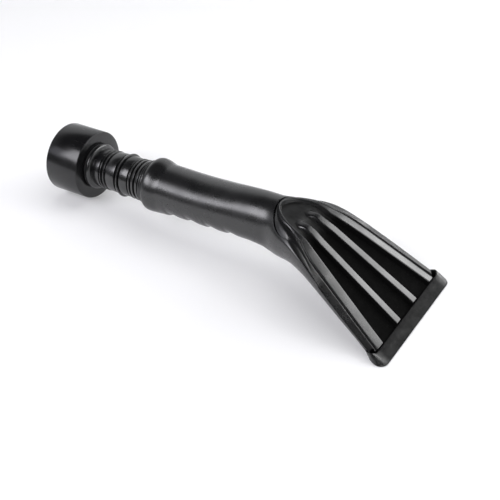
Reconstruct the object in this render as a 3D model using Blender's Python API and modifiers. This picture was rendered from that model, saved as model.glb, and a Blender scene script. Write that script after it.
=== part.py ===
"""Vacuum claw nozzle: a fan-shaped ribbed head on a round handle, with a ribbed plug and a hose cuff.

Metres, +Z up. The tool lies on a flat surface, on the cuff's rear edge and on the mouth lip, and the
origin is on that surface under the middle of its length. Turned pieces are drawn in the handle's frame,
where local +Z runs from the cuff to the head and local +X points down. The head is drawn in the world.
"""

import math

import bmesh
import bpy
from mathutils import Matrix, Vector

MM = 0.001

# Fits and facets
GAP = 0.3 * MM
MERGE = 0.01 * MM
STATION_GAP = 0.2 * MM
SHARP_ANGLE = math.radians(35)
SEGMENTS = 48
RING_STEPS = 10
BELL_STEPS = 6
NOTCH_STEPS = 3
HEAD_STEPS = 18
AIRWAY_STEPS = 12
NOSE_STEPS = 8
COVER_STEPS = 6
SEAT_POINTS = 4
CORNER_STEPS = 5

# Handle axis, measured from the cuff's rear end
AXIS_RISE = math.radians(4.0)

# Hose cuff: a cup with a socket for the hose end
CUFF_RADIUS = 31.5 * MM
CUFF_LENGTH = 35.3 * MM
CUFF_WALL = 2.9 * MM
CUFF_WEB = 4.0 * MM
CUFF_EDGE = 0.8 * MM

# Swivel between the cuff and the plug
TAIL_RADIUS = 16.0 * MM
TAIL_END = 4.0 * MM
CLIP_THICKNESS = 1.7 * MM
CLIP_DEPTH = 1.5 * MM
CLIP_OVERLAP = 1.4 * MM
CLIP_SPLIT = 6.0 * MM
WASHER_THICKNESS = 1.8 * MM
WASHER_INSET = 0.7 * MM
FLANGE_REACH = 5.0 * MM
FLANGE_THICKNESS = 3.0 * MM

# Push fit of the plug in the handle
SOCKET_RADIUS = 17.6 * MM
INSERT_CLEARANCE = 1.0 * MM
INSERT_LENGTH = 36.0 * MM
SEAL_WIRE = 1.0 * MM
SEAL_SPACING = 14.0 * MM

# Neck of the plug: raised bands from the flange to the handle, as relative width, rear rise, front rise
NECK_LENGTH = 54.2 * MM
PLUG_WALL = 1.5 * MM
BAND_EDGE = 0.7 * MM
NECK_GROOVE = 0.8 * MM
NECK_BANDS = (
    (11.2, 1.6 * MM, 1.8 * MM),
    (1.8, 1.4 * MM, 1.4 * MM),
    (4.6, 1.3 * MM, 1.7 * MM),
    (10.4, 1.4 * MM, 3.5 * MM),
    (8.0, 2.2 * MM, 1.9 * MM),
    (2.2, 1.8 * MM, 1.8 * MM),
    (2.2, 2.2 * MM, 2.2 * MM),
)

# Handle: a tube with a bell at its rear end and finger notches below
HANDLE_LENGTH = 134.5 * MM
HANDLE_WALL = 3.0 * MM
GRIP_WALL = 4.2 * MM
HANDLE_SWELL = 1.7 * MM
BELL_RIM_WALL = 1.3 * MM
BELL_RADIUS = 24.8 * MM
BELL_CREST = 11.5 * MM
BELL_FRONT = 8.0 * MM
NOTCH_FIRST = 37.5 * MM
NOTCH_PITCH = 20.8 * MM
NOTCH_DEPTH = 2.3 * MM
NOTCH_FALL = 3.5 * MM
NOTCH_RISE = 12.0 * MM
NOTCH_MARGIN = 22.0 * MM
NOTCH_HALF_ANGLE = math.radians(80)

# Head: the panel's top line bends down from the handle and runs straight to the mouth
PANEL_SETBACK = 12.5 * MM
PANEL_DROP = 2.4 * MM
CROWN_RISE = 1.8 * MM
PANEL_START_SLOPE = math.radians(2.0)
PANEL_SLOPE = math.radians(31.6)
PANEL_BEND = 65.0 * MM
PANEL_END_HEIGHT = 8.0 * MM
HEAD_WALL = 2.6 * MM
HEAD_SQUARENESS = 1.2
SQUARENESS_EASE = 3
FLARE = 0.09
FLARE_EASE = 0.08
UNDERSIDE_END_SLOPE = math.radians(17.0)
MOUTH_PLANE_SLOPE = math.radians(16.0)
MOUTH_DEPTH = 17.5 * MM
TRIM_OVERRUN = 6.0 * MM

# Ribbed cover: the top panel of the head, seated on the open body
COVER_THICKNESS = 7.0 * MM
COVER_APEX = 4.0 * MM
COVER_JOIN = 42.0 * MM
COVER_SPREAD = 0.1
NOSE_LEDGE = 8.0 * MM
LEDGE_THICKNESS = 2.6 * MM
LEDGE_EDGE = 0.8 * MM
GROOVE_FLOOR = 2.3 * MM
GROOVE_END_RISE = 1.0 * MM
RECESS_DEPTH = 2.4 * MM
RIM_INSET = 11.2 * MM
RIM_WIDTH = 6.4 * MM
RIM_START_DROP = 3.4 * MM
RIB_WIDTH = 4.6 * MM
RIB_START_SHARE = 0.38
RIB_END_SHARE = 0.33
RIB_FADE = 14.0 * MM
SIDE_DRAFT = 1.7 * MM

# Round end of the cover on the handle: widths there, as shares of its half width
NOSE_RIM = 0.76
NOSE_RIM_HALF = 0.07
NOSE_RIB_HALF = 0.05
NOSE_DRAFT = 0.06
NOSE_EDGE = 0.03
NOSE_BLUNT = 0.3

# Mouth lip: a soft ring under the head's end, flat on the surface
MOUTH_WIDTH = 124.0 * MM
LIP_OVERHANG = 4.0 * MM
LIP_REACH = 11.5 * MM
LIP_CREST_REACH = 2.3 * MM
LIP_CREST = 0.4 * MM
LIP_TOP_OVERHANG = 1.4 * MM
LIP_WALL = 3.0 * MM
LIP_CORNER = 7.4 * MM
LIP_END_DEPTH = 15.0 * MM
LIP_BACK = 15.0 * MM
HEAD_END_DEPTH = 10.0 * MM
BOW_EASE = 3

# Colours: black plastic for the shells, duller rubber for the lip and the seals, steel for the clip
BLACK_PLASTIC = ((0.012, 0.012, 0.013, 1), 0.32, 0)
BLACK_CUFF = ((0.016, 0.016, 0.017, 1), 0.36, 0)
DULL_RUBBER = ((0.022, 0.022, 0.022, 1), 0.75, 0)
GREY_WASHER = ((0.05, 0.05, 0.052, 1), 0.5, 0)
SPRING_STEEL = ((0.42, 0.42, 0.43, 1), 0.35, 1)

# Fits worked out from the sizes above
PLUG_BORE = TAIL_RADIUS - CLIP_DEPTH - PLUG_WALL
FLANGE_RADIUS = TAIL_RADIUS + FLANGE_REACH
INSERT_RADIUS = SOCKET_RADIUS - INSERT_CLEARANCE
HANDLE_REAR_RADIUS = SOCKET_RADIUS + HANDLE_WALL
HANDLE_FRONT_RADIUS = HANDLE_REAR_RADIUS + HANDLE_SWELL
BELL_RIM_RADIUS = SOCKET_RADIUS + BELL_RIM_WALL
HEAD_HALF_WIDTH = MOUTH_WIDTH / 2 - LIP_OVERHANG

# Places along the handle axis
WEB_REAR = CUFF_LENGTH - CUFF_WEB
WASHER_REAR = CUFF_LENGTH + GAP
FLANGE_REAR = WASHER_REAR + WASHER_THICKNESS + GAP
FLANGE_FRONT = FLANGE_REAR + FLANGE_THICKNESS
BELL_REAR = CUFF_LENGTH + NECK_LENGTH
INSERT_END = BELL_REAR + INSERT_LENGTH
HEAD_START = BELL_REAR + HANDLE_LENGTH

# The axis in the world: it starts at the cuff's rear centre, whose lower edge touches the surface
AXIS = Vector((math.cos(AXIS_RISE), 0, math.sin(AXIS_RISE)))
AXIS_UP = Vector((-math.sin(AXIS_RISE), 0, math.cos(AXIS_RISE)))
AXIS_START_HEIGHT = CUFF_RADIUS * math.cos(AXIS_RISE)
HEAD_X = HEAD_START * AXIS.x
HEAD_AXIS_HEIGHT = AXIS_START_HEIGHT + HEAD_START * AXIS.z

# The head's main lines, with x still measured from the cuff's rear centre
PANEL_X = HEAD_X + PANEL_SETBACK
CROWN_Z = HEAD_AXIS_HEIGHT + PANEL_SETBACK * math.tan(AXIS_RISE) + HANDLE_FRONT_RADIUS + CROWN_RISE
PANEL_Z = CROWN_Z - PANEL_DROP
BEND_END_X = PANEL_X + PANEL_BEND * (math.sin(PANEL_SLOPE) - math.sin(PANEL_START_SLOPE))
BEND_END_Z = PANEL_Z + PANEL_BEND * (math.cos(PANEL_SLOPE) - math.cos(PANEL_START_SLOPE))
PANEL_END_X = BEND_END_X + (BEND_END_Z - PANEL_END_HEIGHT) / math.tan(PANEL_SLOPE)
HEAD_END_X = PANEL_END_X + TRIM_OVERRUN
HEAD_BACK_X = PANEL_END_X - MOUTH_DEPTH
MOUTH_FRONT_X = PANEL_END_X + LIP_REACH
COVER_APEX_X = PANEL_X - COVER_APEX
COVER_JOIN_X = PANEL_X + COVER_JOIN
LEDGE_START_X = COVER_APEX_X - HANDLE_WALL
LEDGE_END_X = COVER_APEX_X + NOSE_LEDGE

# The origin lies under the middle of the length
REAR_X = -CUFF_RADIUS * math.sin(AXIS_RISE)
ORIGIN = Vector(((REAR_X + MOUTH_FRONT_X) / 2, 0, 0))


def smooth(value):
    """Eased step from 0 to 1."""
    t = min(max(value, 0), 1)
    return t * t * (3 - 2 * t)


def mix(a, b, share):
    return a + (b - a) * share


def handle_radius(along):
    """Outer radius of the handle at a distance from the bell's rear end."""
    taper = mix(HANDLE_REAR_RADIUS, HANDLE_FRONT_RADIUS, smooth(along / HANDLE_LENGTH))
    if along < BELL_CREST:
        swell = math.sin(math.pi / 2 * along / BELL_CREST) ** 2
        return mix(BELL_RIM_RADIUS, BELL_RADIUS, swell)
    swell = math.cos(math.pi / 2 * min((along - BELL_CREST) / BELL_FRONT, 1)) ** 2
    return mix(taper, BELL_RADIUS, swell)


def notch_places():
    """Lowest points of the finger notches, as many as the handle has room for."""
    room = HANDLE_LENGTH - NOTCH_FIRST - NOTCH_RISE - NOTCH_MARGIN
    return [NOTCH_FIRST + k * NOTCH_PITCH for k in range(int(room / NOTCH_PITCH) + 1)]


def notch_depth(along):
    """Depth of the finger notches: a short fall towards the head, then a longer rise."""
    depth = 0
    for low in notch_places():
        past = along - low
        reach = NOTCH_RISE if past > 0 else NOTCH_FALL
        depth = max(depth, NOTCH_DEPTH * (1 - smooth(abs(past) / reach)))
    return depth


def panel(x):
    """Height of the panel's top line."""
    if x < PANEL_X:
        return PANEL_Z + (PANEL_X - x) * math.tan(PANEL_START_SLOPE)
    if x < BEND_END_X:
        sine = math.sin(PANEL_START_SLOPE) + (x - PANEL_X) / PANEL_BEND
        return PANEL_Z + PANEL_BEND * (math.sqrt(1 - sine * sine) - math.cos(PANEL_START_SLOPE))
    return BEND_END_Z - (x - BEND_END_X) * math.tan(PANEL_SLOPE)


def mouth_plane(x):
    """Height of the slanted plane that ends the head and carries the lip."""
    return PANEL_END_HEIGHT + (x - PANEL_END_X) * math.tan(MOUTH_PLANE_SLOPE)


def half_width(x):
    """Half width of the head at its widest line."""
    t = max((x - HEAD_X) / (PANEL_END_X - HEAD_X), 0)
    swell = (t + FLARE * math.sin(math.pi * min(t, 1))) * (1 - math.exp(-((t / FLARE_EASE) ** 2)))
    return mix(HANDLE_FRONT_RADIUS, HEAD_HALF_WIDTH, swell)


def widest_height(x):
    """Height of the widest line: the axis at the handle, the cover's seat from the join on."""
    axis_height = HEAD_AXIS_HEIGHT + (x - HEAD_X) * math.tan(AXIS_RISE)
    share = smooth((x - HEAD_X) / (COVER_JOIN_X - HEAD_X))
    return mix(axis_height, panel(x) - COVER_THICKNESS, share)


def underside(x):
    """Height of the underside: a cubic from the handle's lower line to the back of the mouth."""
    run = HEAD_BACK_X - HEAD_X
    t = (x - HEAD_X) / run
    start = HEAD_AXIS_HEIGHT - HANDLE_FRONT_RADIUS
    end = mouth_plane(HEAD_BACK_X)
    if t > 1:
        return end - (x - HEAD_BACK_X) * math.tan(PANEL_SLOPE)
    rise = math.tan(AXIS_RISE) * run
    fall = -math.tan(UNDERSIDE_END_SLOPE) * run
    return (
        start * (1 + 2 * t) * (1 - t) ** 2
        + rise * t * (1 - t) ** 2
        + end * t * t * (3 - 2 * t)
        + fall * t * t * (t - 1)
    )


def cover_half_width(x):
    """Half width of the cover's opening: a round end on the handle that runs out to the head's side."""
    past = max((COVER_JOIN_X - x) / (COVER_JOIN_X - COVER_APEX_X), 0)
    spread = COVER_SPREAD * max(x - (PANEL_X + COVER_JOIN_X) / 2, 0)
    return half_width(x) * math.sqrt(max(1 - past * past, 0)) + spread


def material(name, look):
    colour, roughness, metallic = look
    made = bpy.data.materials.new(name)
    made.use_nodes = True
    shader = made.node_tree.nodes["Principled BSDF"]
    shader.inputs["Base Color"].default_value = colour
    shader.inputs["Roughness"].default_value = roughness
    shader.inputs["Metallic"].default_value = metallic
    return made


def place(name, mesh, look, parent=None):
    """Puts a mesh in the scene as one piece with its own material."""
    piece = bpy.data.objects.new(name, mesh)
    mesh.materials.append(material(name + "_finish", look))
    PARTS.objects.link(piece)
    piece.parent = parent
    return piece


def place_cutter(name, mesh):
    cutter = bpy.data.objects.new(name, mesh)
    CUTTERS.objects.link(cutter)
    cutter.hide_render = True
    cutter.display_type = "WIRE"
    return cutter


def cut(piece, cutter):
    boolean = piece.modifiers.new(cutter.name, "BOOLEAN")
    boolean.operation = "DIFFERENCE"
    boolean.solver = "EXACT"
    boolean.object = cutter


def shade(mesh):
    """Smooth shading that keeps the real edges sharp."""
    mesh.shade_smooth()
    mesh.set_sharp_from_angle(angle=SHARP_ANGLE)


def turned(name, profile, look):
    """A piece turned about the handle axis. The profile (radius, along) goes down its outer side."""
    mesh = bpy.data.meshes.new(name)
    points = [(radius, 0, along) for radius, along in profile]
    edges = [(i, (i + 1) % len(points)) for i in range(len(points))]
    mesh.from_pydata(points, edges, [])
    piece = place(name, mesh, look, HANDLE_AXIS)
    screw = piece.modifiers.new("turn", "SCREW")
    screw.steps = SEGMENTS
    screw.render_steps = SEGMENTS
    screw.use_merge_vertices = True
    screw.merge_threshold = MERGE
    bpy.context.view_layer.update()
    evaluated = piece.evaluated_get(bpy.context.evaluated_depsgraph_get())
    piece.data = bpy.data.meshes.new_from_object(evaluated)
    piece.modifiers.clear()
    bpy.data.meshes.remove(mesh)
    piece.data.name = name
    shade(piece.data)
    return piece


def loft(name, loops, ring):
    """A mesh through loops of equally many points: a closed ring, or a solid with flat ends."""
    shape = bmesh.new()
    rows = [[shape.verts.new(point - ORIGIN) for point in loop] for loop in loops]
    pairs = list(zip(rows, rows[1:]))
    if ring:
        pairs.append((rows[-1], rows[0]))
    else:
        shape.faces.new(rows[0])
        shape.faces.new(rows[-1])
    for near, far in pairs:
        for k in range(len(near)):
            after = (k + 1) % len(near)
            shape.faces.new((near[k], near[after], far[after], far[k]))
    bmesh.ops.recalc_face_normals(shape, faces=shape.faces)
    mesh = bpy.data.meshes.new(name)
    shape.to_mesh(mesh)
    shape.free()
    shade(mesh)
    return mesh


def handle_loop(along, radius, notched):
    """A round section of the handle, with the finger notches on its lower side."""
    centre = Vector((0, 0, AXIS_START_HEIGHT)) + AXIS * (BELL_REAR + along)
    points = []
    for k in range(SEGMENTS):
        angle = 2 * math.pi * k / SEGMENTS
        from_below = abs(angle - math.pi)
        share = 1 - smooth(from_below / NOTCH_HALF_ANGLE)
        r = radius - notched * notch_depth(along) * share
        points.append(centre + AXIS_UP * r * math.cos(angle) + Vector((0, r * math.sin(angle), 0)))
    return points


def ceiling(x, wall):
    """Height of the airway's top line, which dips to leave a ledge under the cover's round end."""
    ledge = panel(x) - COVER_THICKNESS - HEAD_WALL
    outside = max(LEDGE_START_X - x, x - LEDGE_END_X, 0)
    share = min(outside / COVER_THICKNESS, 1)
    return mix(ledge, panel(x) + PANEL_DROP - wall, share)


def head_loop(x, inset):
    """A section of the head at one station: an ellipse at the handle, squarer towards the mouth."""
    share = (x - HEAD_X) / (PANEL_END_X - HEAD_X)
    power = 2 / (2 + HEAD_SQUARENESS * share ** SQUARENESS_EASE)
    wall = inset * mix(GRIP_WALL, HEAD_WALL, share)
    middle = widest_height(x)
    up = (ceiling(x, wall) if inset else panel(x) + PANEL_DROP) - middle
    down = middle - underside(x) - wall
    wide = half_width(x) - wall
    points = []
    for k in range(SEGMENTS):
        angle = 2 * math.pi * k / SEGMENTS
        across = math.copysign(abs(math.sin(angle)) ** power, math.sin(angle))
        high = math.copysign(abs(math.cos(angle)) ** power, math.cos(angle))
        points.append(Vector((x, wide * across, middle + high * (up if high > 0 else down))))
    return points


def in_order(stations):
    """The stations in order, without those that nearly coincide."""
    kept = []
    for station in sorted(stations):
        if not kept or station - kept[-1] > STATION_GAP:
            kept.append(station)
    return kept


def handle_stations():
    """Distances along the handle that its bell and its notches need."""
    stations = [BELL_CREST * k / BELL_STEPS for k in range(BELL_STEPS)]
    stations += [BELL_CREST + BELL_FRONT * k / BELL_STEPS for k in range(BELL_STEPS + 1)]
    for low in notch_places():
        stations += [low - NOTCH_FALL, low - NOTCH_FALL / 2]
        stations += [low + NOTCH_RISE * k / NOTCH_STEPS for k in range(NOTCH_STEPS + 1)]
    return in_order(stations)


def head_stations(count):
    return [HEAD_X + (HEAD_END_X - HEAD_X) * (k / count) for k in range(count + 1)]


def make_nozzle_body():
    """Handle and lower head in one shell, open above for the cover and below at the mouth."""
    outer = [handle_loop(along, handle_radius(along), 1) for along in handle_stations()]
    outer += [head_loop(x, 0) for x in head_stations(HEAD_STEPS)]
    ledge = [LEDGE_START_X, LEDGE_END_X, LEDGE_END_X + COVER_THICKNESS]
    airway = in_order(head_stations(AIRWAY_STEPS) + ledge)
    inner = [head_loop(x, 1) for x in reversed(airway)]
    grip_start = INSERT_LENGTH + HANDLE_WALL
    for along in ((grip_start + HANDLE_LENGTH) / 2, grip_start):
        inner.append(handle_loop(along, handle_radius(along) - GRIP_WALL, 0))
    inner.append(handle_loop(INSERT_LENGTH + GAP, SOCKET_RADIUS, 0))
    inner.append(handle_loop(0, SOCKET_RADIUS, 0))
    body = place("nozzle_body", loft("nozzle_body", outer + inner, True), BLACK_PLASTIC)
    cut(body, COVER_SPACE)
    cut(body, MOUTH_TRIM)


def cover_stations():
    """Stations of the cover, close together round its end on the handle."""
    turns = [math.pi / 2 * k / NOSE_STEPS for k in range(NOSE_STEPS + 1)]
    stations = [mix(COVER_JOIN_X, COVER_APEX_X, math.cos(turn)) for turn in turns]
    shares = [(k + 1) / COVER_STEPS for k in range(COVER_STEPS)]
    return stations + [mix(COVER_JOIN_X, HEAD_END_X, share) for share in shares]


def make_cover_space():
    """Cutter for the cover's place in the body: open above, with the seat as its floor."""
    top = CROWN_Z + COVER_THICKNESS
    loops = []
    for x in cover_stations():
        seat = panel(x) - COVER_THICKNESS
        wide = cover_half_width(x) + GAP
        corners = [(-wide, seat), (wide, seat), (wide, top), (-wide, top)]
        loops.append([Vector((x - GAP, y, z)) for y, z in corners])
    return place_cutter("cover_space", loft("cover_space", loops, False))


def make_mouth_trim():
    """Cutter that ends the head on the slanted plane of the mouth."""
    size = HEAD_END_X
    mesh = bpy.data.meshes.new("mouth_trim")
    shape = bmesh.new()
    bmesh.ops.create_cube(shape, size=size)
    bmesh.ops.translate(shape, verts=shape.verts, vec=(0, 0, -size / 2))
    bmesh.ops.rotate(shape, verts=shape.verts, matrix=Matrix.Rotation(-MOUTH_PLANE_SLOPE, 3, "Y"))
    shape.to_mesh(mesh)
    shape.free()
    trim = place_cutter("mouth_trim", mesh)
    trim.location = Vector((PANEL_END_X, 0, PANEL_END_HEIGHT)) - ORIGIN
    return trim


def cover_section(x):
    """The cover's outline at one station: ledge, rim, groove, rib and the middle groove on each side.

    Near the handle its widths are shares of the round end, which has a low rim and no ribs.
    """
    share = smooth((x - PANEL_X) / (COVER_JOIN_X - PANEL_X))
    along = min(max((x - BEND_END_X) / (PANEL_END_X - BEND_END_X), 0), 1)
    edge = min(cover_half_width(x), half_width(x))
    rim = mix(NOSE_RIM * edge, edge - RIM_INSET, share)
    rib = rim * mix(RIB_START_SHARE, RIB_END_SHARE, along)
    rim_half = mix(NOSE_RIM_HALF * edge, RIM_WIDTH / 2, share)
    rib_half = mix(NOSE_RIB_HALF * edge, RIB_WIDTH / 2, share)
    draft = mix(NOSE_DRAFT * edge, SIDE_DRAFT, share)
    bevel = mix(NOSE_EDGE * edge, LEDGE_EDGE, share)
    top = panel(x)
    seat = top - COVER_THICKNESS + GAP
    groove = seat + GROOVE_FLOOR + GROOVE_END_RISE * smooth(2 * along - 1)
    ledge = mix(top - RECESS_DEPTH, seat + LEDGE_THICKNESS, share)
    rim_top = top - mix(RECESS_DEPTH / 2, RIM_START_DROP * (1 - along), share)
    floor = mix(top - RECESS_DEPTH, groove, share)
    rib_top = mix(floor, top, smooth((x - BEND_END_X + RIB_FADE) / RIB_FADE))
    half = [
        (edge, seat),
        (edge, ledge - LEDGE_EDGE),
        (edge - bevel, ledge),
        (rim + rim_half + draft, ledge),
        (rim + rim_half, rim_top),
        (rim - rim_half, rim_top),
        (rim - rim_half - draft, floor),
        (rib + rib_half + draft, floor),
        (rib + rib_half, rib_top),
        (rib - rib_half, rib_top),
        (rib - rib_half - draft, floor),
    ]
    loop = half + [(0, floor)] + [(-y, z) for y, z in reversed(half)]
    spacing = 2 * edge / (SEAT_POINTS + 1)
    loop += [(spacing * (k + 1) - edge, seat) for k in range(SEAT_POINTS)]
    return [Vector((x, y, z)) for y, z in loop]


def make_ribbed_cover():
    """Top panel of the head, with two rims and two ribs."""
    stations = cover_stations()
    stations[0] = mix(stations[0], stations[1], NOSE_BLUNT)
    mesh = loft("ribbed_cover", [cover_section(x) for x in stations], False)
    cut(place("ribbed_cover", mesh, BLACK_PLASTIC), MOUTH_TRIM)


def mouth_loop(front, back, end_back, half, corner, height):
    """A loop round the mouth: straight in front, round at the corners, bowed back in the middle."""
    straight = half - corner
    turns = [math.pi / 2 * k / CORNER_STEPS for k in range(CORNER_STEPS)]
    ends = [half - corner * (1 - math.cos(turn)) for turn in turns]
    middle = [straight * (k / CORNER_STEPS - 1) for k in range(2 * CORNER_STEPS + 1)]
    spots = [-end for end in ends] + middle + list(reversed(ends))

    def rounding(y):
        past = max(abs(y) - straight, 0) / corner
        return corner * (1 - math.sqrt(max(1 - past * past, 0)))

    loop = [(front - rounding(y), y) for y in spots]
    for y in reversed(spots[1:-1]):
        bow = mix(back, end_back, (abs(y) / half) ** BOW_EASE)
        loop.append((bow + rounding(y), y))
    return [Vector((x, y, height(x))) for x, y in loop]


def make_mouth_lip():
    """Soft ring that ends the mouth: its top meets the head's end, its lower face lies on the surface."""
    def flat(x):
        return 0

    def seat(x):
        return mouth_plane(x) - GAP

    def crest(x):
        front_share = smooth((x - PANEL_END_X + HEAD_END_DEPTH) / HEAD_END_DEPTH)
        return seat(x) + (GAP + LIP_CREST) * front_share

    cover_end = COVER_THICKNESS / (math.tan(PANEL_SLOPE) + math.tan(MOUTH_PLANE_SLOPE))
    slot_front = PANEL_END_X - cover_end + GAP
    end_back = PANEL_END_X - HEAD_END_DEPTH
    foot_back = PANEL_END_X - LIP_BACK
    foot_end_back = MOUTH_FRONT_X - LIP_END_DEPTH
    half = HEAD_HALF_WIDTH
    corner = HEAD_END_DEPTH / 2 - GAP
    loops = [
        mouth_loop(slot_front, HEAD_BACK_X + LIP_WALL, slot_front - LIP_WALL, half - LIP_WALL,
                   LIP_WALL / 2 - GAP, seat),
        mouth_loop(PANEL_END_X + 2 * GAP, HEAD_BACK_X - GAP, end_back, half + GAP, corner, seat),
        mouth_loop(PANEL_END_X + LIP_CREST_REACH, HEAD_BACK_X - 2 * GAP, end_back - GAP,
                   half + LIP_TOP_OVERHANG, corner, crest),
        mouth_loop(MOUTH_FRONT_X, foot_back, foot_end_back, MOUTH_WIDTH / 2, LIP_CORNER, flat),
        mouth_loop(MOUTH_FRONT_X - LIP_WALL, foot_back + LIP_WALL, foot_end_back + LIP_WALL,
                   MOUTH_WIDTH / 2 - LIP_WALL, LIP_CORNER - LIP_WALL, flat),
    ]
    place("mouth_lip", loft("mouth_lip", loops, True), DULL_RUBBER)


def make_hose_cuff():
    """Cup with the hose socket behind and a web in front that turns on the plug's tail."""
    bore = CUFF_RADIUS - CUFF_WALL
    hole = TAIL_RADIUS + GAP
    turned("hose_cuff", [
        (hole, CUFF_LENGTH),
        (CUFF_RADIUS - CUFF_EDGE, CUFF_LENGTH),
        (CUFF_RADIUS, CUFF_LENGTH - CUFF_EDGE),
        (CUFF_RADIUS, 0),
        (bore, 0),
        (bore, WEB_REAR),
        (hole, WEB_REAR),
    ], BLACK_CUFF)


def make_thrust_washer():
    """Washer between the cuff's face and the plug's flange."""
    hole = TAIL_RADIUS + GAP
    front = WASHER_REAR + WASHER_THICKNESS
    turned("thrust_washer", [
        (hole, front),
        (FLANGE_RADIUS - WASHER_INSET, front),
        (FLANGE_RADIUS - WASHER_INSET, WASHER_REAR),
        (hole, WASHER_REAR),
    ], GREY_WASHER)


def make_snap_ring():
    """Split ring in the tail's groove, which keeps the cuff on the plug."""
    front = WEB_REAR - GAP
    inside = TAIL_RADIUS - CLIP_DEPTH + GAP
    outside = TAIL_RADIUS + CLIP_OVERLAP
    ring = turned("snap_ring", [
        (inside, front),
        (outside, front),
        (outside, front - CLIP_THICKNESS),
        (inside, front - CLIP_THICKNESS),
    ], SPRING_STEEL)
    mesh = bpy.data.meshes.new("clip_split")
    shape = bmesh.new()
    bmesh.ops.create_cube(shape, size=1)
    bmesh.ops.scale(shape, verts=shape.verts, vec=(outside, CLIP_SPLIT, 3 * CLIP_THICKNESS))
    shape.to_mesh(mesh)
    shape.free()
    split = place_cutter("clip_split", mesh)
    split.parent = HANDLE_AXIS
    split.location = (-outside, 0, front - CLIP_THICKNESS / 2)
    cut(ring, split)


def neck_profile():
    """Raised bands of the neck, from the handle down to the flange, spread over the length between them."""
    length = BELL_REAR - GAP - FLANGE_FRONT - NECK_GROOVE * (len(NECK_BANDS) + 1)
    share = length / sum(width for width, rear, front in NECK_BANDS)
    end = BELL_REAR - GAP
    profile = []
    for width, rear, front in reversed(NECK_BANDS):
        start = end - width * share
        profile += [
            (INSERT_RADIUS, end),
            (INSERT_RADIUS + front, end - BAND_EDGE),
            (INSERT_RADIUS + rear, start + BAND_EDGE),
            (INSERT_RADIUS, start),
        ]
        end = start - NECK_GROOVE
    return profile


def seal_groove(middle):
    """Groove of one seal ring, from its front edge down to its rear edge."""
    half = SEAL_WIRE + GAP
    floor = SOCKET_RADIUS - 2 * GAP - 2 * SEAL_WIRE
    return [
        (INSERT_RADIUS, middle + half),
        (floor, middle + half),
        (floor, middle - half),
        (INSERT_RADIUS, middle - half),
    ]


def seal_places():
    middle = BELL_REAR + INSERT_LENGTH / 2
    return [middle - SEAL_SPACING / 2, middle + SEAL_SPACING / 2]


def make_connector_plug():
    """Hollow ribbed neck: a tail in the cuff, a flange, bands in the open, and the part in the handle."""
    tip = INSERT_END
    profile = [(PLUG_BORE, tip), (INSERT_RADIUS - BAND_EDGE, tip), (INSERT_RADIUS, tip - BAND_EDGE)]
    for middle in reversed(seal_places()):
        profile += seal_groove(middle)
    profile += neck_profile()
    clip_rear = WEB_REAR - CLIP_THICKNESS - 2 * GAP
    clip_floor = TAIL_RADIUS - CLIP_DEPTH
    profile += [
        (INSERT_RADIUS, FLANGE_FRONT),
        (FLANGE_RADIUS - BAND_EDGE, FLANGE_FRONT),
        (FLANGE_RADIUS, FLANGE_FRONT - BAND_EDGE),
        (FLANGE_RADIUS, FLANGE_REAR),
        (TAIL_RADIUS, FLANGE_REAR),
        (TAIL_RADIUS, WEB_REAR),
        (clip_floor, WEB_REAR),
        (clip_floor, clip_rear),
        (TAIL_RADIUS, clip_rear),
        (TAIL_RADIUS, clip_rear - TAIL_END),
        (PLUG_BORE, clip_rear - TAIL_END),
    ]
    turned("connector_plug", profile, BLACK_PLASTIC)


def make_seal_rings():
    """Rubber rings that hold and seal the plug in the handle's socket."""
    centre = SOCKET_RADIUS - GAP - SEAL_WIRE
    for number, middle in enumerate(seal_places(), 1):
        circle = []
        for k in range(RING_STEPS):
            angle = math.pi / 2 - 2 * math.pi * k / RING_STEPS
            circle.append((centre + SEAL_WIRE * math.cos(angle), middle + SEAL_WIRE * math.sin(angle)))
        turned(f"seal_ring_{number}", circle, DULL_RUBBER)


for leftover in list(bpy.data.objects):
    bpy.data.objects.remove(leftover)

PARTS = bpy.data.collections.new("vacuum_claw_nozzle")
CUTTERS = bpy.data.collections.new("cutters")
bpy.context.scene.collection.children.link(PARTS)
bpy.context.scene.collection.children.link(CUTTERS)

HANDLE_AXIS = bpy.data.objects.new("handle_axis", None)
PARTS.objects.link(HANDLE_AXIS)
HANDLE_AXIS.location = Vector((0, 0, AXIS_START_HEIGHT)) - ORIGIN
HANDLE_AXIS.rotation_euler = (0, math.pi / 2 - AXIS_RISE, 0)

COVER_SPACE = make_cover_space()
MOUTH_TRIM = make_mouth_trim()

make_nozzle_body()
make_ribbed_cover()
make_mouth_lip()
make_connector_plug()
make_seal_rings()
make_thrust_washer()
make_snap_ring()
make_hose_cuff()
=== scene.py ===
# %% [markdown]
# # A vacuum claw nozzle, piece by piece
#
# The object is a hand tool for a vacuum cleaner, moulded in black plastic: a fan-shaped ribbed head on a
# round grip, a ribbed neck, and a cuff for the hose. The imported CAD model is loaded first. It stays as the
# fixed frame that moves, and finer pieces are modelled in the same place and take over what is seen.

# %% Load the frame
import math

import bpy
import numpy as np
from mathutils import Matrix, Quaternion, Vector


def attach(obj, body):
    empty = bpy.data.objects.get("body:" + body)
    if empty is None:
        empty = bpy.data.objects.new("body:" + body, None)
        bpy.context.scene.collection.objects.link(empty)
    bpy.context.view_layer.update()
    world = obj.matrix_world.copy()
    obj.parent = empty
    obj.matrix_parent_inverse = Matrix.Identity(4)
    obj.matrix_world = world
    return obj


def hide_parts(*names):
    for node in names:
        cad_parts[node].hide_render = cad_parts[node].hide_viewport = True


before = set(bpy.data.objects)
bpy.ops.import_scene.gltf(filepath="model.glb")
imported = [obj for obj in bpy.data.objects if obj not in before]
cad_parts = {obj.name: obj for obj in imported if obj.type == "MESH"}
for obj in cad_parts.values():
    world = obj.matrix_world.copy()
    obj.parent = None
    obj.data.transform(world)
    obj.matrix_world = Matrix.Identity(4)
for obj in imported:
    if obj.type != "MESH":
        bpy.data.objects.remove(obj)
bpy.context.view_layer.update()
MM = 0.001

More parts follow.
